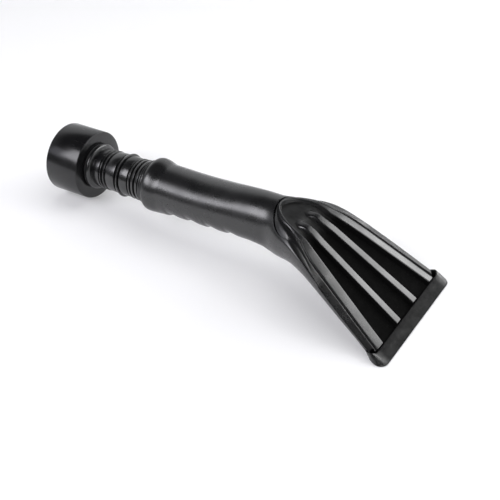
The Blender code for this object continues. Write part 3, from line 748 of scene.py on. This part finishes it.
# the bell's outer line from its rear rim to its crest: distance along the axis and radius
BELL_LINE = np.array((
    (95.9, 19.3), (96.2, 19.9), (96.8, 20.3), (97.4, 20.3), (97.8, 20.0), (98.1, 19.6), (98.4, 20.1), (98.8, 20.9),
    (99.4, 21.3), (100.0, 21.3), (100.5, 21.0), (100.8, 20.8), (101.1, 21.5), (101.6, 22.5), (102.4, 23.4),
    (103.4, 24.0), (104.4, 24.3), (105.4, 24.4),
)) * MM
BELL_REAR, BELL_FRONT = BELL_LINE[0, 0], BELL_LINE[-1, 0]
BELL_FADE = 13.0 * MM
GRIP_END = 219.0 * MM
NOTCH_PLACES = [(127.0 + 20.8 * k) * MM for k in range(4)]
NOTCH_DEPTH = 3.2 * MM
NOTCH_HALF_ANGLE = math.radians(90)


def grip_shape(s):
    """How far the grip's section reaches above, beside and below the axis at a distance along it."""
    up = 21.5 - 0.8 * smooth((s / MM - 106) / 34) + 2.1 * smooth((s / MM - 150) / 50)
    up = (up + 2.0 * smooth((s / MM - 180) / 40)) * MM
    side = HANDLE_RADIUS
    down = 25.0 - 2.9 * smooth((s / MM - 106) / 38) - 1.6 * smooth((s / MM - 165) / 40)
    down = (down + 1.8 * smooth((s / MM - 208) / 16)) * MM
    crest = np.interp(s, BELL_LINE[:, 0], BELL_LINE[:, 1])
    swell = math.cos(math.pi / 2 * min(max((s - BELL_FRONT) / BELL_FADE, 0), 1)) ** 2
    return [mix(reach, crest + more * MM, swell) for reach, more in ((up, 0.2), (side, 0), (down, -0.3))]


def notch_depth(s):
    """Depth of the finger notches: a short fall towards the head, then a longer rise."""
    depth = 0
    for low in NOTCH_PLACES:
        past = s - low
        reach = 12.0 * MM if past > 0 else 3.5 * MM
        depth = max(depth, NOTCH_DEPTH * (1 - smooth(abs(past) / reach)))
    return depth


def grip_row(s, shape, depth):
    """A section of the grip, with a notch of some depth on its lower side."""
    up, side, down = shape
    centre = AXIS_START + AXIS * s
    row = []
    for k in range(BODY_POINTS):
        angle = 2 * math.pi * k / (BODY_POINTS - 1)
        share = 1 - smooth(abs(angle - math.pi) / NOTCH_HALF_ANGLE)
        high = (up if math.cos(angle) > 0 else down) * math.cos(angle)
        across = side * math.sin(angle)
        shrink = 1 - depth * share / math.hypot(high, across)
        row.append(tuple(centre + AXIS_UP * high * shrink + Vector((0, across * shrink, 0))))
    return row


bell_stations = list(BELL_LINE[:-1, 0]) + [BELL_FRONT + BELL_FADE * k / 14 for k in range(14)]
grip_stations = bell_stations + [mix(BELL_FRONT + BELL_FADE, GRIP_END, k / 120) for k in range(121)]
grip_rows = [grip_row(s, grip_shape(s), notch_depth(s)) for s in grip_stations]
print("grip rows", len(grip_rows))

# %% Wrap the body
NECK_ROWS = 6
SEAM = 0.06 * MM
NOSE_GAP = 1.0 * MM


def body_edge(x):
    """The body's edge beside the cover's: a fine seam, which opens into a dark gap round the nose."""
    edge_x, edge_y = edge_point(x)
    gap = NOSE_GAP * (1 - smooth((edge_x - 238 * MM) / (26 * MM)))
    return edge_x - gap, edge_y + SEAM + 0.6 * gap


def head_row(x, opening, wall=0.0):
    """A section of the head, open at the top between the two sides of the cover's edge."""
    upper, lower = upper_squareness(x), squareness(x)
    middle = widest_height(x)
    wide = half_width(x)
    up = crown_top(x) - middle
    down = middle - underside(x)
    start = math.asin(min(opening / wide, 1) ** (1 / upper))
    row = []
    for k in range(BODY_POINTS):
        angle = mix(start, 2 * math.pi - start, k / (BODY_POINTS - 1))
        power = upper if math.cos(angle) > 0 else lower
        across = math.copysign(abs(math.sin(angle)) ** power, math.sin(angle)) * wide
        high = math.copysign(abs(math.cos(angle)) ** power, math.cos(angle))
        rise = high * (up if high > 0 else down)
        shrink = 1 - wall / math.hypot(across, rise)
        row.append(to_world(x, across * shrink, middle + rise * shrink))
    return row


def wrap_grid(name, rows):
    """Adds a flat grid and lays its rows on the given sections."""
    bpy.ops.object.select_all(action="DESELECT")
    bpy.ops.mesh.primitive_grid_add(x_subdivisions=len(rows[0]) - 1, y_subdivisions=len(rows) - 1, size=1)
    piece = bpy.context.object
    piece.name = name
    piece.data.name = name
    piece.data.vertices.foreach_set("co", np.array(rows, dtype=float).ravel())
    piece.data.update()
    return piece


def cut_mouth():
    """Cuts the active piece off on the slanted plane of the mouth and closes it."""
    bpy.ops.object.mode_set(mode="EDIT")
    bpy.ops.mesh.select_all(action="SELECT")
    tilt = (-math.sin(MOUTH_PLANE_SLOPE), 0, math.cos(MOUTH_PLANE_SLOPE))
    corner = to_world(PANEL_END_X, 0, PANEL_END_HEIGHT)
    bpy.ops.mesh.bisect(plane_co=corner, plane_no=tilt, clear_inner=True, use_fill=True)
    bpy.ops.object.mode_set(mode="OBJECT")


neck_stations = [mix(HEAD_X, EDGE_APEX - NOSE_GAP, k / NECK_ROWS) for k in range(NECK_ROWS)]
open_rows = [body_edge(x) for x in ridge_stations()]
outer_rows = [head_row(x, y) for x, y in reversed(open_rows)]
outer_rows += [head_row(x, 0) for x in reversed(neck_stations)]
outer_rows += grip_rows[::-1]
bore = [(BELL_REAR, 18.2 * MM), (BELL_REAR + 0.8 * MM, SOCKET_RADIUS), (125.8 * MM, SOCKET_RADIUS)]
bore += [(mix(128.5 * MM, GRIP_END, k / 8), mix(16.6, 18.0, k / 8) * MM) for k in range(9)]
inner_rows = [grip_row(s, (radius, radius, radius), 0) for s, radius in bore]
inner_rows += [head_row(x, 0, 3.6 * MM) for x in neck_stations[1:]]
inner_rows += [head_row(x, y, 2.6 * MM) for x, y in open_rows]
body = wrap_grid("grip_and_head", outer_rows + inner_rows)
bpy.ops.object.mode_set(mode="EDIT")
bpy.ops.mesh.select_mode(type="VERT")
bpy.ops.mesh.select_all(action="SELECT")
bpy.ops.mesh.remove_doubles(threshold=MERGE)
bpy.ops.mesh.select_all(action="DESELECT")
bpy.ops.mesh.select_mode(type="EDGE")
bpy.ops.mesh.select_non_manifold()
bpy.ops.mesh.bridge_edge_loops()
bpy.ops.object.mode_set(mode="OBJECT")
cut_mouth()
finish_mesh(body, 0.2 * MM, 50)
dress(body, "claw", "nozzle_body", "shell", grip_plastic)

# %% [markdown]
# ## Ribbed cover
#
# The cover is the fan-shaped panel: a rim on each side, two ribs, and three grooves with a matte, gritty
# floor. Its near-black, barely reflecting finish is also painted shade deep in the grooves. Its section is a
# chain of corners, each with its own rounding, because the highlights on the real one are thin lines along
# rounded edges. The same chain is drawn at every station, so a grid can be wrapped over it as over the body.
# Near the grip the ribs sink into a smooth recess and the rim becomes a thin ridge.

# %% Draw the cover's section
ROUND_STEPS = 4
RIB_WIDTH = 6.4 * MM
RIB_START = 251.0 * MM
RIB_RISE = 1.2 * MM
COVER_GAP = 0.1 * MM
COVER_END = 353.6 * MM
DRAW_START = 322.0 * MM


def cover_end(y):
    """Where the cover ends: straight before the lip, drawn back at the corners."""
    return COVER_END - 4.0 * MM * smooth((abs(y) - 51 * MM) / (7 * MM))


def drawn_back(x, y, z):
    """Draws the last rows of the cover back so that the very last one lies on its end line."""
    share = max((x - DRAW_START) / (HEAD_END_X - DRAW_START), 0)
    new_x = x - share * (HEAD_END_X - cover_end(y))
    return new_x, y * half_width(new_x) / half_width(x), z + panel(new_x) - panel(x)


def rounded(corners):
    """A chain of (across, height, radius) corners with each corner rounded off."""
    line = []
    for k, (y, z, radius) in enumerate(corners):
        here = np.array((y, z))
        if radius == 0 or k in (0, len(corners) - 1):
            line.append(tuple(here))
            continue
        before = np.array(corners[k - 1][:2]) - here
        after = np.array(corners[k + 1][:2]) - here
        near = min(radius, 0.45 * math.hypot(*before))
        far = min(radius, 0.45 * math.hypot(*after))
        start = here + before * (near / max(math.hypot(*before), 1e-9))
        end = here + after * (far / max(math.hypot(*after), 1e-9))
        for step in range(ROUND_STEPS + 1):
            t = step / ROUND_STEPS
            line.append(tuple(start * (1 - t) ** 2 + here * 2 * t * (1 - t) + end * t * t))
    return line


def rim_height(x):
    """Height of the rim's inner edge."""
    rise = mix(1.9 * MM, 0.7 * MM, min(max((x - 295 * MM) / (50 * MM), 0), 1))
    return panel(x) + mix(-1.2 * MM, rise, smooth((x - 246 * MM) / (32 * MM)))


def floor_height(x):
    share = smooth((x - PANEL_X) / (COVER_JOIN_X - PANEL_X))
    return panel(x) - mix(2.4 * MM, 4.2 * MM, share)


def cover_row(x):
    """One row of the cover, from the far side's lower edge over the top to the near side's lower edge."""
    ridge = np.array((x, ridge_half_width(x)))
    edge_x, edge_y = edge_point(x)
    edge = np.array((edge_x, edge_y - SEAM))
    reach = math.hypot(*(edge - ridge))
    outward = (edge - ridge) / reach
    inner_draft = 1.1 * MM
    base = ridge - outward * inner_draft
    base[1] = max(base[1], 0)
    top_width = min(mix(1.8 * MM, 8.8 * MM, smooth((x - 250 * MM) / (34 * MM))), reach * 0.8)
    groove = smooth((x - 246 * MM) / (30 * MM))
    foot = min(top_width + mix(1.5 * MM, 1.9 * MM, groove), mix(top_width, reach, 0.75))
    nose = 1 - smooth((x - 248 * MM) / (22 * MM))
    fan = smooth((x - 262 * MM) / (36 * MM))
    rim = rim_height(x) + 2.4 * MM * (1 - smooth(ridge[1] / (15 * MM))) + 0.7 * MM * nose
    ground = floor_height(x)

    def plan(u):
        """Place in plan of a distance across: straight over the floor, then out over the rim."""
        if u <= base[1]:
            return base[0], u
        spot = ridge + outward * (u - base[1] - inner_draft)
        return spot[0], spot[1]

    def flank(u):
        spot_x, spot_y = plan(u)
        return crown(spot_x, spot_y)

    start = base[1] + inner_draft
    foot_u = start + foot
    end_u = start + reach
    drop = rim - flank(foot_u) + 0.35 * MM * smooth((x - EDGE_APEX) / (12 * MM))
    foot_z = rim - (drop + math.sqrt(drop * drop + (0.5 * MM) ** 2)) / 2
    rim_u = start + top_width
    slope = smooth((x - 255 * MM) / (30 * MM))
    rim_out = rim - 2.5 * MM * slope
    bead = panel(x) - mix(-0.2 * MM, 0.5 * MM, min(max((x - 300 * MM) / (40 * MM), 0), 1))
    foot_z = mix(foot_z, bead, groove)
    bottom = min(rim_out, foot_z) - 1.0 * MM
    gap = []
    for share, place in ((0.3, foot_u - 0.5 * MM), (0.7, rim_u + 0.3 * MM)):
        u = mix(mix(foot_u, rim_u, share), place, groove)
        gap.append((u, mix(mix(foot_z, rim_out, share), bottom, groove), 0.3 * MM))
    outer = []
    for k in range(12):
        q = 1 - k / 11
        u = mix(foot_u, end_u, q)
        curved = mix(foot_z, flank(u) - 0.9 * MM * nose, smooth(q))
        sloped = mix(foot_z, flank(end_u), q)
        outer.append((u, mix(curved, sloped, fan), 0))
    outer[-1] = (foot_u, foot_z, mix(1.6 * MM, 0.3 * MM, groove))
    rib = min(10.1 * MM + 0.064 * (x - 280 * MM), base[1] * 0.45)
    tip = min(max((x - RIB_START) / (8 * MM), 0), 1)
    soft = mix(1.8 * MM, 0.7 * MM, smooth((x - RIB_START) / (28 * MM)))
    half = max(RIB_WIDTH / 2 * math.sqrt(1 - (1 - tip) ** 2), 0.03 * base[1])
    grown = smooth((x - RIB_START) / (13 * MM))
    draft = max(mix(2.4 * MM, 1.0 * MM, grown) * min(2 * tip, 1), 0.03 * base[1])
    rise = RIB_RISE * smooth((x - RIB_START) / (24 * MM))
    straight = BEND_END_Z - (x - BEND_END_X) * math.tan(PANEL_SLOPE)
    rib_top = mix(ground, mix(panel(x), straight, 0.7) + rise, grown)
    corners = outer + gap + [
        (rim_u, rim_out, 0.6 * MM),
        (mix(start, rim_u, 0.94), rim - 1.6 * MM * slope, 0.9 * MM),
        (start, rim, 0.9 * MM),
        (base[1], ground, 0.9 * MM),
        (rib + half + draft, ground, 1.0 * MM),
        (rib + half, rib_top, soft),
        (rib - half, rib_top, soft),
        (rib - half - draft, ground, 1.0 * MM),
        (0, ground, 0),
    ]
    side = rounded(corners)
    half_row = [plan(u) + (z,) for u, z in side]
    # the lower edge lies under the seam, towards the middle of the section
    seam_x, seam_y, seam_z = half_row[0]
    inward = np.array((-seam_y, widest_height(seam_x) - seam_z))
    sink = mix(2.4 * MM, 0.5 * MM, fan) / max(math.hypot(*inward), 1e-6)
    lower = (seam_x, seam_y + inward[0] * sink, seam_z + inward[1] * sink)
    below = min(lower[2], floor_height(seam_x) - 1.2 * MM)
    inmost = (seam_x, max(lower[1] - 3 * MM, 0), below)
    row = [drawn_back(px, py, pz + COVER_GAP * fan) for px, py, pz in [inmost, lower] + half_row]
    lowest = min(pz for px, py, pz in row[1:]) - 0.6 * MM
    row[0] = (row[0][0], row[0][1], min(row[0][2], lowest))
    row = [to_world(px, py, max(pz, 1.6 * MM)) for px, py, pz in row]
    return row + [(px, -py, pz) for px, py, pz in reversed(row[:-1])]


# %% Wrap the cover
cover_rows = [cover_row(x) for x in ridge_stations()]
# the last row drops straight down to one level, so that the end closes with a flat face
end_level = min(pz for px, py, pz in cover_rows[-1])
cover_rows.append([(px, py, end_level) for px, py, pz in cover_rows[-1]])
cover_rows = [row + [row[0]] for row in cover_rows]
cover = wrap_grid("fan_cover", cover_rows)
print("cover rows", len(cover_rows), "of", len(cover_rows[0]))
bpy.ops.object.mode_set(mode="EDIT")
bpy.ops.mesh.select_mode(type="VERT")
bpy.ops.mesh.select_all(action="SELECT")
bpy.ops.mesh.remove_doubles(threshold=MERGE)
bpy.ops.mesh.select_all(action="DESELECT")
bpy.ops.mesh.select_mode(type="EDGE")
bpy.ops.mesh.select_non_manifold()
bpy.ops.mesh.edge_face_add()
bpy.ops.mesh.quads_convert_to_tris()
bpy.ops.mesh.select_all(action="DESELECT")
bpy.ops.object.mode_set(mode="OBJECT")
finish_mesh(cover, 0)

# %% Dull the grooves and paint shade into them
GRIT_AND_SHADE_START = 250.0 * MM - HALF_LENGTH
GRIT_AND_SHADE_FULL = 276.0 * MM - HALF_LENGTH


def grit_and_painted_shade(name):
    """The recess and the groove floors: satin by the grip, then a dead matte black with specks of dust, whose lost
    reflection is partly painted shade in the grooves.
    """
    made = bpy.data.materials.new(name)
    made.use_nodes = True
    tree = made.node_tree
    shader = tree.nodes["Principled BSDF"]
    place = add_node(tree, "ShaderNodeTexCoord").outputs["Object"]
    split = add_node(tree, "ShaderNodeSeparateXYZ")
    tree.links.new(place, split.inputs[0])
    wander = spread(tree, noise(tree, place, 90, 3), 0.3, 0.7, -4 * MM, 4 * MM)
    along = total(tree, split.outputs["X"], wander)
    # the reflection fades out along the grooves: painted shade in the grooves, on top of their matte finish
    tree.links.new(spread(tree, along, GRIT_AND_SHADE_START, GRIT_AND_SHADE_FULL, 0.6, 0.06), shader.inputs["Specular IOR Level"])
    rough = spread(tree, along, GRIT_AND_SHADE_START, GRIT_AND_SHADE_FULL, 0.34, 0.8)
    uneven = spread(tree, noise(tree, place, 160, 5, 0.65), 0.35, 0.65, -0.06, 0.08)
    tree.links.new(total(tree, rough, uneven), shader.inputs["Roughness"])
    specks = spread(tree, noise(tree, place, 1300, 2, 0.7), 0.66, 0.78, 0, 1)
    tint = add_node(tree, "ShaderNodeMix")
    tint.data_type = "RGBA"
    tint.inputs["A"].default_value = (0.003, 0.003, 0.003, 1)
    tint.inputs["B"].default_value = (0.035, 0.035, 0.034, 1)
    tree.links.new(specks, tint.inputs["Factor"])
    tree.links.new(tint.outputs["Result"], shader.inputs["Base Color"])
    bump = add_node(tree, "ShaderNodeBump", Strength=0.2, Distance=0.0002)
    tree.links.new(noise(tree, place, 1700, 4, 0.65), bump.inputs["Height"])
    tree.links.new(bump.outputs[0], shader.inputs["Normal"])
    return made


dress(cover, "claw", "ribbed_cover", "cover", grip_plastic, grit_and_painted_shade("groove_grit_and_painted_shade"))
# faces low in the grooves, and near the mouth the lower walls too, take the matte finish with its painted shade
for face in cover.data.polygons:
    x = face.center.x + HALF_LENGTH
    across = abs(face.center.y)
    low = floor_height(x) + mix(0.5, 3.2, smooth((x - 250 * MM) / (25 * MM))) * MM
    wall = ridge_half_width(x) + mix(-0.3, 0.8, smooth((x - 325 * MM) / (20 * MM))) * MM
    groove = across < wall and face.center.z < low
    face.material_index = int(groove and face.normal.z > -0.2)
print("gritty faces", sum(face.material_index for face in cover.data.polygons))

# %% [markdown]
# ## Mouth lip
#
# The lip is a soft ring under the head's end. It is duller than the shells, a little scuffed, and its top
# edge closes the grooves. A ring of points is extruded from loop to loop: the slot, the seat under the head,
# the crest in front of the ribs, the belly of the front face, and the flat foot.

# %% Make the lip
LIP_CORNER_STEPS = 14
LIP_SIDE_STEPS = 26


def lip_loop(front, back, end_back, half, corner, height):
    """A loop round the mouth: straight in front, round at the corners, bowed back in the middle."""
    straight = half - corner
    turns = [math.pi / 2 * k / LIP_CORNER_STEPS for k in range(LIP_CORNER_STEPS)]
    ends = [half - corner * (1 - math.cos(turn)) for turn in turns]
    middle = [straight * (k / LIP_SIDE_STEPS - 1) for k in range(2 * LIP_SIDE_STEPS + 1)]
    spots = [-end for end in ends] + middle + list(reversed(ends))

    def rounding(y):
        past = max(abs(y) - straight, 0) / corner
        return corner * (1 - math.sqrt(max(1 - past * past, 0)))

    loop = [(front - rounding(y), y) for y in spots]
    loop += [(mix(back, end_back, (abs(y) / half) ** 3) + rounding(y), y) for y in reversed(spots[1:-1])]
    return [to_world(x, y, height(x)) for x, y in loop]


def mouth_plane(x):
    return PANEL_END_HEIGHT + (x - PANEL_END_X) * math.tan(MOUTH_PLANE_SLOPE)


def lip_seat(x):
    return mouth_plane(x) - 0.3 * MM


def lip_edge(x):
    """The lip's rear upper edge: on its seat at the sides, at the ribs' level in front."""
    return min(lip_seat(x), panel(x) - 0.4 * MM)


def lip_crest(x):
    return min(lip_seat(x) + 0.6 * MM, panel(x))


def lip_slot(x):
    return mix(3.2 * MM, 1.2 * MM, (x - SLOT_BACK) / (SLOT_FRONT - SLOT_BACK))


def lip_level(level):
    return lambda x: level


LIP_REAR = 354.3 * MM
MOUTH_FRONT = 365.0 * MM
SLOT_FRONT = LIP_REAR - 0.1 * MM
SLOT_BACK = HEAD_BACK_X + 3 * MM
FOOT_BACK = PANEL_END_X - 15 * MM
FOOT_END_BACK = MOUTH_FRONT - 13.5 * MM
SEAT_END_BACK = PANEL_END_X - 6 * MM
SIDE = HEAD_HALF_WIDTH
lip_rows = [
    lip_loop(SLOT_FRONT, SLOT_BACK, 346.6 * MM, SIDE - 0.1 * MM, 4.4 * MM, lip_slot),
    lip_loop(LIP_REAR, HEAD_BACK_X - 0.3 * MM, SEAT_END_BACK, SIDE + 0.3 * MM, 4.7 * MM, lip_edge),
    lip_loop(LIP_REAR + 0.8 * MM, HEAD_BACK_X - 0.6 * MM, SEAT_END_BACK - 0.3 * MM, SIDE + 1.4 * MM, 5 * MM, lip_crest),
    lip_loop(MOUTH_FRONT - 1.2 * MM, FOOT_BACK + 0.2 * MM, FOOT_END_BACK + 0.2 * MM, 61.8 * MM, 7.2 * MM,
             lip_level(1.5 * MM)),
    lip_loop(MOUTH_FRONT, FOOT_BACK, FOOT_END_BACK, 62 * MM, 7.4 * MM, lip_level(0.5 * MM)),
    lip_loop(MOUTH_FRONT - 0.4 * MM, FOOT_BACK + 0.5 * MM, FOOT_END_BACK + 0.5 * MM, 61.6 * MM, 7.0 * MM,
             lip_level(0)),
    lip_loop(SLOT_FRONT - 4.4 * MM, SLOT_BACK + 0.6 * MM, 347.0 * MM, SIDE - 4.4 * MM, 1.5 * MM, lip_level(0)),
    lip_loop(SLOT_FRONT - 4.4 * MM, SLOT_BACK + 0.6 * MM, 347.0 * MM, SIDE - 4.4 * MM, 1.5 * MM, lip_level(1 * MM)),
]
lip_rows.append(lip_rows[0])
lip = wrap_grid("soft_lip", [row + [row[0]] for row in lip_rows])
finish_mesh(lip, 0.5 * MM, 25)
lip_rubber = dull_rubber("lip_rubber", (0.003, 0.003, 0.0031, 1), (0.02, 0.02, 0.02, 1), 0.58)
dress(lip, "claw", "mouth_lip", "lip", lip_rubber)
